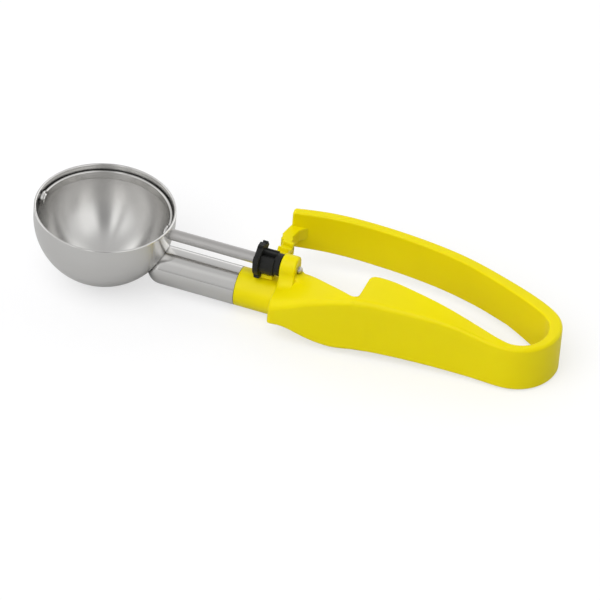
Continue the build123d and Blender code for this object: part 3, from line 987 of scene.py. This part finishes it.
@dataclass
class Handle:
    """The moulding: neck, post, root, the loop that bends at its tail, and the rack finger.

    Sizes are in millimetres and angles in degrees. The lists are lines of the moulding as (x, y) or
    (x, z) points, or (x, corner radius) points where their name ends in round. Angles of the finger are
    measured at the hinge, from the line that runs back to the bowl towards the squeezed arm.
    """

    post_x: float = 74.0
    hinge: tuple[float, float] = (183.95, 2.0)
    hinge_z: float = -11.2
    blend_z: float = -11.0
    blend_start: tuple[float, float] = (0.0, -5.9)
    blend_end: tuple[float, float] = (1.4, 8.0)
    loop_top: float = -1.2
    neck_radius: float = TUBE_RADIUS
    neck_edge: float = 0.35
    neck_end_x: float = 75.0
    loop_overlap: float = 0.2
    post_length: float = 6.2
    post_half: float = 4.2
    post_round: float = 0.8
    post_fillet: float = 4.0
    crown_z: float = -3.0
    foot_share: float = 0.3
    foot_reach: float = 5.0
    spread_reach: float = 8.0
    plan_round: float = 2.0
    front_round: float = 1.0
    inner_edge: float = 0.06
    grip_inner_round: float = 0.9
    lever_inner_round: float = 0.8
    lever_under_round: float = 1.1
    root_overlap: float = 0.1
    root_end_x: float = 107.0
    root_near_y: float = -9.0
    root_least_width: float = 4.0
    root_top_z: float = -13.0
    root_tilt: float = 1.5
    root_front_round: float = 0.8
    root_rounds: tuple[float, float, float, float] = (5.0, 4.0, 1.2, 1.0)
    rack_pitch_radius: float = 115.6
    rack_half_width: float = 2.3
    rack_root_z: float = -9.4
    rack_bottom_z: float = -11.3
    rack_top_z: float = -7.85
    rack_step: float = 1.4706
    rack_teeth: int = 6
    rack_lead_share: float = 0.75
    tooth_root_half: float = 0.82
    tooth_tip_half: float = 0.257
    rack_edge: float = 0.25
    rack_front_round: float = 0.4
    rack_overlap: float = 0.6
    finger_front: float = 8.15
    finger_front_turn: float = 0.24
    finger_steps: tuple[float, float, float, float] = (8.76, 8.98, 9.96, 10.2)
    finger_arm: float = 14.3
    finger_depth: float = 5.6
    finger_edge: float = 0.45
    finger_flare: float = 1.8
    flare_start: float = 12.2
    step_shift: float = 1.6
    root_shift: float = 2.4
    near_wall: list[tuple[float, float]] = field(default_factory=lambda: [
        (73.7, -17.0), (97.0, -17.0), (126.0, -15.2), (148.4, -14.6), (170.4, -15.1),
    ])
    top_inner: list[tuple[float, float]] = field(default_factory=lambda: [
        (73.8, -8.8), (80.5, -7.3), (84.4, -5.6), (88.8, -3.8), (93.2, -2.4), (97.8, -0.9), (104.2, 1.0),
        (110.0, 2.2), (125.0, 3.6), (143.4, 4.0), (158.4, 1.2), (170.4, -1.2),
    ])
    top_outer: list[tuple[float, float]] = field(default_factory=lambda: [
        (73.8, -10.2), (81.0, -8.0), (87.0, -5.1), (95.0, -2.1), (103.0, 0.4), (111.0, 2.0), (119.0, 2.3),
        (135.0, 2.3), (143.0, 2.0), (151.0, 1.1), (159.0, -0.4), (166.0, -1.1), (170.4, -1.2),
    ])
    under_line: list[tuple[float, float]] = field(default_factory=lambda: [
        (73.8, -20.6), (80.0, -20.2), (84.0, -21.1), (88.3, -22.3), (93.4, -23.3), (97.6, -23.6),
        (103.0, -23.3), (109.0, -22.5), (121.0, -21.6), (133.0, -21.2), (150.0, -21.1), (170.4, -21.2),
    ])
    lever_under: list[tuple[float, float]] = field(default_factory=lambda: [
        (66.0, -18.2), (85.0, -18.9), (103.0, -19.4), (140.0, -19.5), (150.0, -19.2), (162.0, -19.0),
        (176.0, -20.8), (186.4, -21.2),
    ])
    root_far: list[tuple[float, float]] = field(default_factory=lambda: [
        (73.9, 7.6), (80.0, 7.2), (90.0, 2.0), (100.0, -4.6), (107.0, -9.4),
    ])
    root_under: list[tuple[float, float]] = field(default_factory=lambda: [
        (73.9, -27.3), (82.0, -26.9), (92.0, -25.2), (107.0, -22.6),
    ])
    grip_top_round: list[tuple[float, float]] = field(default_factory=lambda: [
        (73.8, 4.6), (78.0, 3.8), (84.0, 3.2), (112.0, 2.4), (128.0, 2.0), (170.0, 1.4),
    ])
    grip_under_round: list[tuple[float, float]] = field(default_factory=lambda: [
        (74.0, 0.9), (84.0, 1.8), (120.0, 1.3),
    ])
    lever_top_round: list[tuple[float, float]] = field(default_factory=lambda: [(100.0, 0.9), (186.0, 1.4)])

    def front_stations(self) -> tuple[np.ndarray, np.ndarray, np.ndarray]:
        """Stations from the front of the post to the palm block: post, ridge, notch and block front.

        The outer wall is a natural spline. The inner wall is straight between the points of the outline,
        each of which also names the x of the outer wall that it stands across from. The post's height
        dies out behind it as a square, foot_share * (1 - beyond / foot_reach)^2.

        Returns:
            Outer plan points, inner plan points, and the crest that carries the post over the top.
        """
        start, end = self.post_x - self.loop_overlap, self.post_x + self.post_length
        turn = self.post_round
        front_end = start + self.front_round
        post_x = np.concatenate([
            end_rows(start, self.front_round, 7), np.linspace(front_end, end - turn, 6)[1:],
            (end + start - end_rows(start, turn, 7))[::-1][1:],
        ])
        shrink = end_inset(post_x - start, turn) + end_inset(end - post_x, turn)
        post_inner = np.stack([post_x, self.post_half - shrink], axis=1)
        outline = np.array([  # outer x, inner x, inner y
            (end + 0.02, end + 0.04, self.post_half - turn), (end + 0.8, 81.5, 2.9), (99.0, 105.4, -12.0),
            (102.5, 106.6, -12.6), (105.5, 107.8, -12.7), (107.8, 108.9, -12.3), (108.6, 109.35, -11.4),
            (109.8, 109.45, -0.6), (110.4, 109.9, 0.6), (111.4, 111.0, 1.3), (113.6, 113.2, 1.3),
        ])
        foot_row, last_row = 1.3, len(outline) - 1
        row = np.concatenate([
            np.linspace(0, 1, 6), np.linspace(1, foot_row, 14)[1:], np.linspace(foot_row, last_row, 150)[1:],
        ])
        after_x, inner_x, inner_y = (np.interp(row, np.arange(len(outline)), line) for line in outline.T)
        after_inner = np.stack([inner_x, inner_y], axis=1)
        x = np.concatenate([post_x, after_x])
        outer = np.stack([x, curve_at(self.near_wall, x) + end_inset(x - start, self.plan_round)], axis=1)
        inner = np.concatenate([post_inner, after_inner])
        shrink = np.concatenate([shrink, np.full(len(after_x), turn)])
        beyond = np.clip(x - end, 0, None)
        fade = np.where(beyond > 0, self.foot_share * np.clip(1 - beyond / self.foot_reach, 0, 1) ** 2, 1.0)
        spread = np.clip(beyond / self.spread_reach, 0, 1)
        spread = spread**2 * (3 - 2 * spread)
        return outer, inner, self.post_crest(outer, inner, shrink, fade, spread)

    def post_crest(
        self, outer: np.ndarray, inner: np.ndarray, shrink: np.ndarray, fade: np.ndarray, spread: np.ndarray
    ) -> np.ndarray:
        """Post as a crest on the saddle: far wall, half circle, near wall, concave fillet, saddle.

        The half circle is (half cos a, crown + half sin a), and the fillet curves the other way round a
        centre that lies its own radius outside the near wall.

        Args:
            outer: plan points of the near wall.
            inner: plan points of the inner wall.
            shrink: how far the post's outline is drawn in at each station.
            fade: share of the post's height that is left at each station.
            spread: 0 for the post's own spacing of points across the top, 1 for even spacing.

        Returns:
            Shares across the top and heights above it, as band takes them.
        """
        half = (self.post_half - shrink)[:, None]
        fillet = self.post_fillet
        reach = inner[:, 1:] - self.inner_edge
        width = reach - (outer[:, 1:] + self.top_rounding(outer[:, 0])[:, None])
        top_in = curve_at(self.top_inner, inner[:, 0])[:, None]
        top_out = curve_at(self.top_outer, outer[:, 0])[:, None]
        ones = np.ones_like(half)
        far_climb = np.array([[0.0, 0.25, 0.5, 0.75]])
        near_climb = np.array([[0.8, 0.6, 0.4, 0.2, 0.0]])
        round_angle = np.linspace(0, math.pi, 21)[None]
        foot_angle = np.linspace(0, math.pi / 2, 9)[None, 1:]
        dome_start = far_climb.size
        near_start = dome_start + round_angle.size
        foot_start = near_start + near_climb.size
        foot_y = -half - fillet + fillet * np.cos(foot_angle)
        last = reach - width
        flat_y = foot_y[:, -1:] + (last - foot_y[:, -1:]) * np.linspace(0, 1, 11)[None, 1:-1]
        y = np.concatenate([
            half * np.ones_like(far_climb), half * np.cos(round_angle), -half * np.ones_like(near_climb),
            foot_y, flat_y,
        ], axis=1)
        share = np.clip((reach - y) / width, 0, 1)
        saddle = top_in + share * (top_out - top_in)
        to_crown = self.crown_z - saddle
        far = far_climb * to_crown[:, :dome_start]
        dome = to_crown[:, dome_start:near_start] + half * np.sin(round_angle)
        near = fillet + near_climb * (to_crown[:, near_start:foot_start] - fillet)
        foot = (fillet - fillet * np.sin(foot_angle)) * ones
        lift = np.concatenate([far, dome, near, foot, np.zeros_like(flat_y)], axis=1)
        even = np.linspace(0, 1, y.shape[1] + 2)[None, 1:-1]
        share = share + (even - share) * spread[:, None]
        return np.stack([share, lift * fade[:, None]], axis=-1)

    def top_rounding(self, x: np.ndarray) -> np.ndarray:
        """Radius of the near arm's upper outer edge, which is fullest at the shoulder."""
        return lines_at(self.grip_top_round, x)

    def rear_stations(self) -> tuple[np.ndarray, np.ndarray]:
        """Wall points from the palm block round the tail and along the squeezed arm to its front.

        Both walls are natural splines through the outline, over the length of the line midway.

        Returns:
            Outer and inner plan points.
        """
        outline = np.array([  # outer x and y, inner x and y
            (113.6, -15.93, 113.2, 1.3), (118.0, -15.6, 117.0, 0.75), (126.0, -15.2, 122.4, -0.5),
            (148.4, -14.6, 144.4, -7.1), (162.0, -14.95, 160.5, -10.1), (170.4, -15.1, 168.0, -11.3),
            (176.2, -13.6, 173.6, -10.7), (181.2, -10.2, 178.2, -8.0), (184.9, -4.8, 180.8, -3.6),
            (186.4, 2.0, 181.5, 2.0), (185.6, 7.2, 180.3, 6.4), (183.0, 12.0, 178.2, 9.2),
            (178.1, 16.1, 174.8, 11.7), (172.0, 19.5, 169.6, 14.6), (156.7, 25.9, 155.6, 21.1),
            (141.4, 31.1, 141.4, 26.6), (120.4, 35.0, 120.4, 31.0), (99.5, 36.37, 98.5, 32.6),
            (80.0, 35.3, 80.3, 31.4), (66.9, 32.3, 67.2, 28.7),
        ])
        middle = (outline[:, :2] + outline[:, 2:]) / 2
        travel = np.concatenate([[0], np.cumsum(np.linalg.norm(np.diff(middle, axis=0), axis=1))])
        end = travel[-1]
        near_end = end - end_rows(0.0, self.front_round, 8)[::-1]
        at = np.concatenate([np.linspace(0, end - self.front_round, 200)[1:-1], near_end])
        points = natural_spline(travel, outline, at)
        return points[:, :2], points[:, 2:]

    def loop_grid(self) -> np.ndarray:
        """The whole loop as one band, from the post round the tail to the squeezed arm's front.

        Returns:
            Grid of points (along, round the section, 3), as band gives it.
        """
        front_outer, front_inner, front_crest = self.front_stations()
        rear_outer, rear_inner = self.rear_stations()
        outer = np.concatenate([front_outer, rear_outer])
        inner = np.concatenate([front_inner, rear_inner])
        front = len(front_outer)
        is_grip = np.arange(len(outer)) < front + np.argmax(rear_outer[:, 0])
        x = outer[:, 0]
        top = np.stack([curve_at(self.top_outer, x), curve_at(self.top_inner, inner[:, 0])], axis=1)
        top = np.where(is_grip[:, None], top, self.loop_top)
        under_grip = np.stack([curve_at(self.under_line, x), curve_at(self.under_line, inner[:, 0])], axis=1)
        under_lever = lines_at(self.lever_under, x)[:, None]
        bottom = np.where(is_grip[:, None], under_grip, under_lever)
        top_outer = np.where(is_grip, self.top_rounding(x), lines_at(self.lever_top_round, x))
        under_outer = np.where(is_grip, lines_at(self.grip_under_round, x), self.lever_under_round)
        under_inner = np.where(is_grip, self.grip_inner_round, self.lever_inner_round)
        in_post = (np.arange(len(outer)) < front) & (x <= self.post_x + self.post_length)
        top_inner = np.where(in_post, self.inner_edge, under_inner)
        radii = np.stack([under_outer, under_inner, top_inner, top_outer], axis=1)
        inset = np.zeros(len(outer))
        inset[:front] += end_inset(front_outer[:, 0] - front_outer[0, 0], self.front_round)
        inset[front:] += end_inset(np.linalg.norm(rear_outer - rear_outer[-1], axis=1), self.front_round)
        across = front_crest.shape[1]
        crest = np.zeros((len(outer), across, 2))
        crest[..., 0] = np.linspace(0, 1, across + 2)[None, 1:-1]
        crest[:front] = front_crest
        return band(outer, inner, top, bottom, radii, inset, crest=crest)

    def root_grid(self) -> np.ndarray:
        """The thick root under the spindle, which ties the neck into the near arm.

        Its far wall and its underside are natural splines, and it is carried straight along the tool.

        Returns:
            Grid of points (along, round the section, 3), as band gives it.
        """
        x = np.linspace(self.post_x - self.root_overlap, self.root_end_x, 40)
        far = curve_at(self.root_far, x)
        under = curve_at(self.root_under, x)
        outer = np.stack([x, np.minimum(far - self.root_least_width, self.root_near_y)], axis=1)
        inner = np.stack([x, far], axis=1)
        top = np.full((len(x), 2), self.root_top_z)
        bottom = np.stack([under + self.root_tilt, under], axis=1)
        radii = np.tile(self.root_rounds, (len(x), 1))
        return band(outer, inner, top, bottom, radii, end_inset(x - x[0], self.root_front_round))

    def neck_grid(self) -> np.ndarray:
        """Round neck, flush with the tube, with a fine rounding where they meet.

        The profile (radius, height) is turned round the tube's axis.

        Returns:
            Grid of points (profile, round, 3).
        """
        edge = self.neck_edge
        end = arc(edge, 0, 90, 4)[::-1] * [1, -1] + [self.neck_radius - edge, TUBE_END_X + edge]
        profile = np.concatenate([
            [[0.0, TUBE_END_X]], end, [[self.neck_radius, self.neck_end_x], [0.0, self.neck_end_x]],
        ])
        return along_x(revolve(profile, 96), TUBE_Z)

    def on_hinge(self, angle: np.ndarray, radius: np.ndarray | float) -> np.ndarray:
        """Plan points at an angle and a radius from the hinge: hinge + radius (-cos a, sin a)."""
        plan = np.radians(180 - angle)
        return radius * np.stack([np.cos(plan), np.sin(plan)], axis=1) + self.hinge

    def finger_block(self) -> np.ndarray:
        """Stepped block by the arm, carried round the hinge and widened towards the arm.

        Its inner wall is let out by finger_flare times the square of the share of the flare.

        Returns:
            Grid of points (along, round the section, 3), as band gives it.
        """
        front, arm = self.finger_front, self.finger_arm
        step = np.array([front, *self.finger_steps, arm])
        shift = np.array([0.0, 0.0, self.step_shift, self.step_shift, self.root_shift, self.root_shift])
        angle = np.unique(np.concatenate([
            end_rows(front, self.finger_front_turn, 6), np.linspace(front + self.finger_front_turn, arm, 60),
            np.linspace(*step[1:3], 6), np.linspace(*step[3:5], 6),
        ]))
        reach = np.interp(angle, step, shift)[:, None]
        share = np.clip((angle - self.flare_start) / (arm - self.flare_start), 0, 1)
        flare = self.finger_flare * share[:, None] ** 2
        level = np.full((len(angle), 2), self.rack_top_z)
        inset = end_inset(np.radians(angle - front) * self.rack_pitch_radius, self.finger_edge)
        return band(
            self.on_hinge(angle, self.rack_pitch_radius + self.rack_half_width + reach),
            self.on_hinge(angle, self.rack_pitch_radius - self.rack_half_width + reach - flare),
            level, level - self.finger_depth, np.full((len(angle), 4), self.finger_edge), inset, 5,
        )

    def rack_bar(self) -> np.ndarray:
        """Thin toothed bar that reaches under the pinion, carried round the hinge.

        Its top is the root level, and near each tooth's middle it climbs in a straight line, from the
        tooth's half width at the root to its half width at the tip.

        Returns:
            Grid of points (along, round the section, 3), as band gives it.
        """
        start = math.degrees(self.hinge[1] / self.rack_pitch_radius)
        lead = self.rack_step * self.rack_lead_share
        angle = np.linspace(-start - lead, self.finger_front + self.rack_overlap, 420)
        tooth = (angle + start) / self.rack_step
        nearest = np.clip(np.round(tooth), 0, self.rack_teeth - 1)
        off = np.abs(tooth - nearest) * self.rack_step
        length = math.radians(1) * self.rack_pitch_radius
        root, tip = self.tooth_root_half / length, self.tooth_tip_half / length
        climb = np.clip((root - off) / (root - tip), 0, 1)
        crest = self.rack_root_z + (self.rack_top_z - self.rack_root_z) * climb
        level = np.stack([crest, crest], axis=1)
        return band(
            self.on_hinge(angle, self.rack_pitch_radius + self.rack_half_width),
            self.on_hinge(angle, self.rack_pitch_radius - self.rack_half_width),
            level, np.full_like(level, self.rack_bottom_z), np.full((len(angle), 4), self.rack_edge),
            end_inset((angle - angle[0]) * length, self.rack_front_round), 4,
        )

    def build(self, tool: ToolFrame, finishes: Finishes) -> None:
        """Builds and dresses the pieces. The loop is baked in place and rides on no body.

        Args:
            tool: the frame they are drawn in.
            finishes: the tool's finishes.
        """
        loop = Shell().add(self.loop_grid()).build("handle_loop", tool)
        loop.data.materials.append(finishes.yellow)
        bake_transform(loop)
        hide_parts("handle_grip", "squeeze_lever")
        LOG.info("handle_loop bends from grip to lever: %d faces", len(loop.data.polygons))
        core = Shell().add(self.root_grid()).add(self.neck_grid())
        finish_piece(core.build("neck", tool), Body.HANDLE, finishes.yellow)
        finger = Shell().add(self.finger_block()).add(self.rack_bar()).build("rack_finger", tool)
        finish_piece(finger, Body.LEVER, finishes.yellow)


# --- Studio -------------------------------------------------------------------------------------------


@dataclass
class Studio:
    """Pale floor, soft surroundings and the camera.

    The steel mirrors horizon, panels and ceiling. The tool is lit by light_panels and light_ceiling, and
    by one large soft key lamp. A ring's stops are (share of the way round, level): horizon runs from the
    far horizon over the top to the near one, and the panels run from the far side by the bowl's end, the
    near side and the tail's end back to the far side. An edge is the pair of cosines between which the
    key lamp or the ceiling fades in.

    camera_rows are the camera's right, up and back in the tool's own frame, and camera_offset is where
    the frame's origin lies along them, in millimetres.
    """

    floor_size: float = 12.0
    floor_colour: str = "#AAAAAB"
    floor_lift: float = 0.6
    floor_bounce: str = "#D0D0D0"
    light_panels: list[tuple[float, float]] = field(default_factory=lambda: [
        (0.0, 0.95), (0.29, 0.8), (0.33, 0.08), (0.44, 0.08), (0.48, 0.05), (0.64, 0.05), (0.68, 0.45),
        (0.8, 0.6), (0.85, 0.95), (1.0, 0.95),
    ])
    light_ceiling: float = 0.15
    key_direction: tuple[float, float, float] = (-0.17, -0.6, 0.78)
    key_level: float = 2.4
    key_edge: tuple[float, float] = (0.68, 0.93)
    horizon: list[tuple[float, float]] = field(default_factory=lambda: [
        (0.0, 2.1), (0.03, 1.7), (0.06, 1.3), (0.1, 1.05), (0.14, 1.0), (0.55, 1.0), (0.6, 0.92),
        (0.85, 0.9), (0.92, 0.88), (0.97, 0.74), (1.0, 0.62),
    ])
    panels: list[tuple[float, float]] = field(default_factory=lambda: [
        (0.0, 0.9), (0.03, 0.78), (0.06, 0.66), (0.12, 0.66), (0.16, 0.85), (0.19, 1.15), (0.225, 1.42),
        (0.25, 1.4), (0.28, 1.15), (0.31, 0.85), (0.36, 0.85), (0.4, 1.1), (0.43, 1.2), (0.455, 0.74),
        (0.47, 0.74), (0.485, 1.3), (0.507, 1.3), (0.53, 0.55), (0.55, 0.4), (0.585, 0.4), (0.605, 0.8),
        (0.625, 1.3), (0.7, 1.3), (0.74, 1.0), (0.8, 0.8), (0.86, 1.05), (0.9, 1.4), (0.96, 1.4),
        (0.985, 1.1), (1.0, 0.9),
    ])
    ceiling: float = 0.63
    ceiling_edge: tuple[float, float] = (0.74, 0.97)
    camera_rows: list[list[float]] = field(default_factory=lambda: [
        [0.9374, 0.3422, 0.0645], [-0.2645, 0.5791, 0.7712], [0.2265, -0.74, 0.6334],
    ])
    camera_offset: tuple[float, float, float] = (-75.642, 36.085, -2525.18)
    focal_share: float = 6500 / 600
    sensor_mm: float = 36.0
    far_clip: float = 50.0

    def add_floor(self) -> None:
        """Adds a large pale floor that keeps the tool's soft shadow.

        The camera sees it in floor_colour, lifted by an even glow so that it comes out white away from
        the shadow. All other rays see floor_bounce, so that the floor sends light up as white paper does.
        """
        half = self.floor_size / 2
        mesh = bpy.data.meshes.new("studio_floor")
        corners = [(-half, -half, 0), (half, -half, 0), (half, half, 0), (-half, half, 0)]
        mesh.from_pydata(corners, [], [(0, 1, 2, 3)])
        floor = bpy.data.objects.new("studio_floor", mesh)
        bpy.context.scene.collection.objects.link(floor)
        material = bpy.data.materials.new("paper_white_matt")
        material.use_nodes = True
        tree = material.node_tree
        tree.nodes.remove(tree.nodes["Principled BSDF"])
        path = add_node(tree, "ShaderNodeLightPath")
        lift = add_node(
            tree, "ShaderNodeMath", {"operation": "MULTIPLY"},
            {0: path.outputs["Is Camera Ray"], 1: self.floor_lift},
        )
        shade = add_node(
            tree, "ShaderNodeMix", {"data_type": "RGBA"},
            {
                "Factor": path.outputs["Is Camera Ray"], 6: linear(self.floor_bounce),
                7: linear(self.floor_colour),
            },
        )
        paper = add_node(tree, "ShaderNodeBsdfDiffuse", {}, {"Color": shade.outputs[2]})
        glow = add_node(
            tree, "ShaderNodeEmission", {}, {"Color": (1, 1, 1, 1), "Strength": lift.outputs["Value"]}
        )
        both = add_node(tree, "ShaderNodeAddShader", {}, {0: paper.outputs[0], 1: glow.outputs[0]})
        tree.links.new(both.outputs[0], tree.nodes["Material Output"].inputs["Surface"])
        mesh.materials.append(material)

    def add_surround(self) -> None:
        """Adds a world that is white to the camera and puts the tool in a ring of soft screens.

        One ramp follows the angle round the X axis, atan2(z, y) / pi, from the far horizon over the top
        to the near one. The other follows the compass, atan2(x, -y) / (2 pi) + 1/2. Where the direction's
        height is over the ceiling's edge, the ceiling takes over. Camera rays see white, mirror rays see
        the screens that the steel shows, and all other rays see the screens that light the tool and the
        key lamp, whose level fades in with the cosine of the angle to its direction.
        """
        world = bpy.data.worlds.new("studio")
        bpy.context.scene.world = world
        world.use_nodes = True
        tree = world.node_tree
        tree.nodes.clear()
        place = add_node(tree, "ShaderNodeTexCoord")
        parts = add_node(tree, "ShaderNodeSeparateXYZ", {}, {0: place.outputs["Generated"]})
        over = add_node(
            tree, "ShaderNodeMath", {"operation": "ARCTAN2"}, {0: parts.outputs["Z"], 1: parts.outputs["Y"]}
        )
        over_share = add_node(
            tree, "ShaderNodeMath", {"operation": "MULTIPLY"}, {0: over.outputs[0], 1: 1 / math.pi}
        )
        front = add_node(
            tree, "ShaderNodeMath", {"operation": "MULTIPLY"}, {0: parts.outputs["Y"], 1: -1.0}
        )
        compass = add_node(
            tree, "ShaderNodeMath", {"operation": "ARCTAN2"}, {0: parts.outputs["X"], 1: front.outputs[0]}
        )
        compass_share = add_node(
            tree, "ShaderNodeMath", {"operation": "MULTIPLY_ADD"},
            {0: compass.outputs[0], 1: 0.5 / math.pi, 2: 0.5},
        )
        over_top = add_node(tree, "ShaderNodeValToRGB", {}, {"Fac": over_share.outputs[0]}, self.horizon)
        all_round = add_node(tree, "ShaderNodeValToRGB", {}, {"Fac": compass_share.outputs[0]}, self.panels)
        screens = add_node(
            tree, "ShaderNodeMix", {"data_type": "RGBA", "blend_type": "MULTIPLY"},
            {"Factor": 1.0, 6: over_top.outputs["Color"], 7: all_round.outputs["Color"]},
        )
        height = add_node(
            tree, "ShaderNodeMapRange", {"interpolation_type": "SMOOTHSTEP"},
            {
                "Value": parts.outputs["Z"], "From Min": self.ceiling_edge[0],
                "From Max": self.ceiling_edge[1],
            },
        )
        mirrored = add_node(
            tree, "ShaderNodeMix", {"data_type": "RGBA"},
            {"Factor": height.outputs["Result"], 6: screens.outputs[2], 7: (*[self.ceiling] * 3, 1)},
        )
        light_round = add_node(
            tree, "ShaderNodeValToRGB", {}, {"Fac": compass_share.outputs[0]}, self.light_panels
        )
        lighting = add_node(
            tree, "ShaderNodeMix", {"data_type": "RGBA"},
            {
                "Factor": height.outputs["Result"], 6: light_round.outputs["Color"],
                7: (*[self.light_ceiling] * 3, 1),
            },
        )
        towards_key = add_node(
            tree, "ShaderNodeVectorMath", {"operation": "DOT_PRODUCT"},
            {0: place.outputs["Generated"], 1: self.key_direction},
        )
        in_key = add_node(
            tree, "ShaderNodeMapRange", {"interpolation_type": "SMOOTHSTEP"},
            {
                "Value": towards_key.outputs["Value"], "From Min": self.key_edge[0],
                "From Max": self.key_edge[1],
            },
        )
        keyed = add_node(
            tree, "ShaderNodeMix", {"data_type": "RGBA"},
            {"Factor": in_key.outputs["Result"], 6: lighting.outputs[2], 7: (*[self.key_level] * 3, 1)},
        )
        path = add_node(tree, "ShaderNodeLightPath")
        level = add_node(
            tree, "ShaderNodeMix", {"data_type": "RGBA"},
            {"Factor": path.outputs["Is Glossy Ray"], 6: keyed.outputs[2], 7: mirrored.outputs[2]},
        )
        seen = add_node(
            tree, "ShaderNodeMix", {"data_type": "RGBA"},
            {"Factor": path.outputs["Is Camera Ray"], 6: level.outputs[2], 7: (1, 1, 1, 1)},
        )
        background = add_node(tree, "ShaderNodeBackground", {}, {"Color": seen.outputs[2]})
        output = add_node(tree, "ShaderNodeOutputWorld")
        tree.links.new(background.outputs[0], output.inputs["Surface"])

    def add_camera(self, tool: ToolFrame) -> None:
        """Adds the camera, its rows made exactly square to each other first.

        Args:
            tool: the frame that the camera's place is given in.
        """
        left_hand, _, right_hand = np.linalg.svd(np.array(self.camera_rows))
        rows = left_hand @ right_hand
        place = tool.place(-rows.T @ np.array(self.camera_offset))
        right, up, back = (tool.turn @ row for row in rows)
        data = bpy.data.cameras.new("camera")
        data.sensor_width = self.sensor_mm
        data.lens = self.focal_share * self.sensor_mm
        data.clip_end = self.far_clip
        camera = bpy.data.objects.new("camera", data)
        bpy.context.scene.collection.objects.link(camera)
        camera.matrix_world = pose_matrix(right, up, back, place)
        bpy.context.scene.camera = camera

    def build(self, tool: ToolFrame) -> None:
        """Builds the studio.

        Args:
            tool: the frame that the camera's place is given in.
        """
        bpy.context.scene.view_settings.view_transform = "Standard"
        self.add_floor()
        self.add_surround()
        self.add_camera(tool)


def pose_matrix(right: np.ndarray, up: np.ndarray, back: np.ndarray, place: np.ndarray) -> Matrix:
    """Makes a matrix whose columns are three directions and a place.

    Args:
        right: the first column.
        up: the second column.
        back: the third column.
        place: the last column.

    Returns:
        The four by four matrix.
    """
    matrix = np.eye(4)
    matrix[:3] = np.stack([right, up, back, place], axis=1)
    return Matrix(matrix.tolist())


def main() -> None:
    """Builds the tool's looks round the frame, and the studio."""
    logging.basicConfig(level=logging.INFO, format="%(name)s: %(message)s")
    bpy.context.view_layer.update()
    handle = Handle()
    squeeze = next(joint for joint in frame["joints"] if joint["name"] == "lever_squeeze")
    tool = ToolFrame.from_joint(squeeze, (*handle.hinge, handle.hinge_z))
    finishes = Finishes()
    Scoop().build(tool, finishes)
    Spindle().build(tool, finishes)
    handle.build(tool, finishes)
    Studio().build(tool)


if __name__ == "__main__":
    main()
